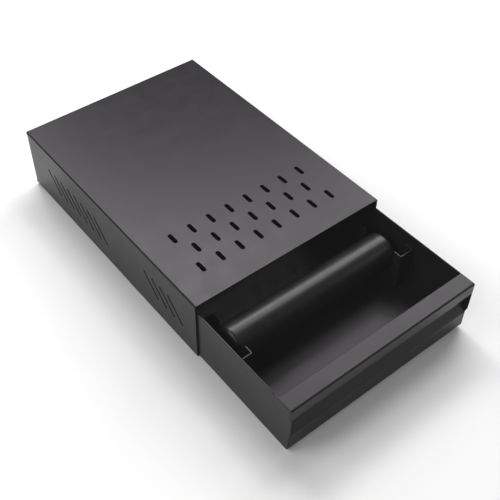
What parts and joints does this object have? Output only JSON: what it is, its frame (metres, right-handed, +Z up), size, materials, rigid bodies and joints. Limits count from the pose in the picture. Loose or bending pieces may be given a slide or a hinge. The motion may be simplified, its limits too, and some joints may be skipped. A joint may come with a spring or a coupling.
{
  "type": "knock box drawer",
  "caption": "Low black sheet-metal casing with vent slots, a sliding drawer with a finger groove, and a rubber knock bar across it.",
  "frame": {"origin": "centre of the footprint of the whole part, drawer part open, on the plane the feet stand on", "axes": "+Z up, -Y is the way the drawer opens, +X to the right as seen from the front"},
  "size_m": [0.2, 0.3926, 0.067],
  "materials": {
    "black_coat": "satin black powder coat on folded sheet steel",
    "foot_rubber": "matt",
    "bar_rubber": "smooth moulded rubber, satin",
    "core_steel": "drawn tube",
    "plug_plastic": "moulded, matt"
  },
  "bodies": {
    "casing": {"casing_shell": "black_coat", "casing_rear_panel": "black_coat", "rear_rivet_low_left": "black_coat", "rear_rivet_low_right": "black_coat", "rear_rivet_high_left": "black_coat", "rear_rivet_high_right": "black_coat", "foot_front_left": "foot_rubber", "foot_front_right": "foot_rubber", "foot_rear_left": "foot_rubber", "foot_rear_right": "foot_rubber", "bumper_left": "foot_rubber", "bumper_right": "foot_rubber"},
    "drawer": {"drawer_body": "black_coat", "drawer_side_left": "black_coat", "drawer_side_right": "black_coat", "drawer_top_rail": "black_coat", "bar_bracket_left": "black_coat", "bar_bracket_right": "black_coat"},
    "bar": {"bar_core": "core_steel", "bar_sleeve": "bar_rubber", "bar_plug_left": "plug_plastic", "bar_plug_right": "plug_plastic"}
  },
  "joints": [
    {"name": "drawer_slide", "type": "slide", "parent": "casing", "child": "drawer", "axis": [0, -1, 0], "range_m": [-0.1144, 0.08]},
    {"name": "bar_spin", "type": "hinge", "parent": "drawer", "child": "bar", "pos_m": [0, -0.1066, 0.0333], "axis": [1, 0, 0], "continuous": true}
  ]
}
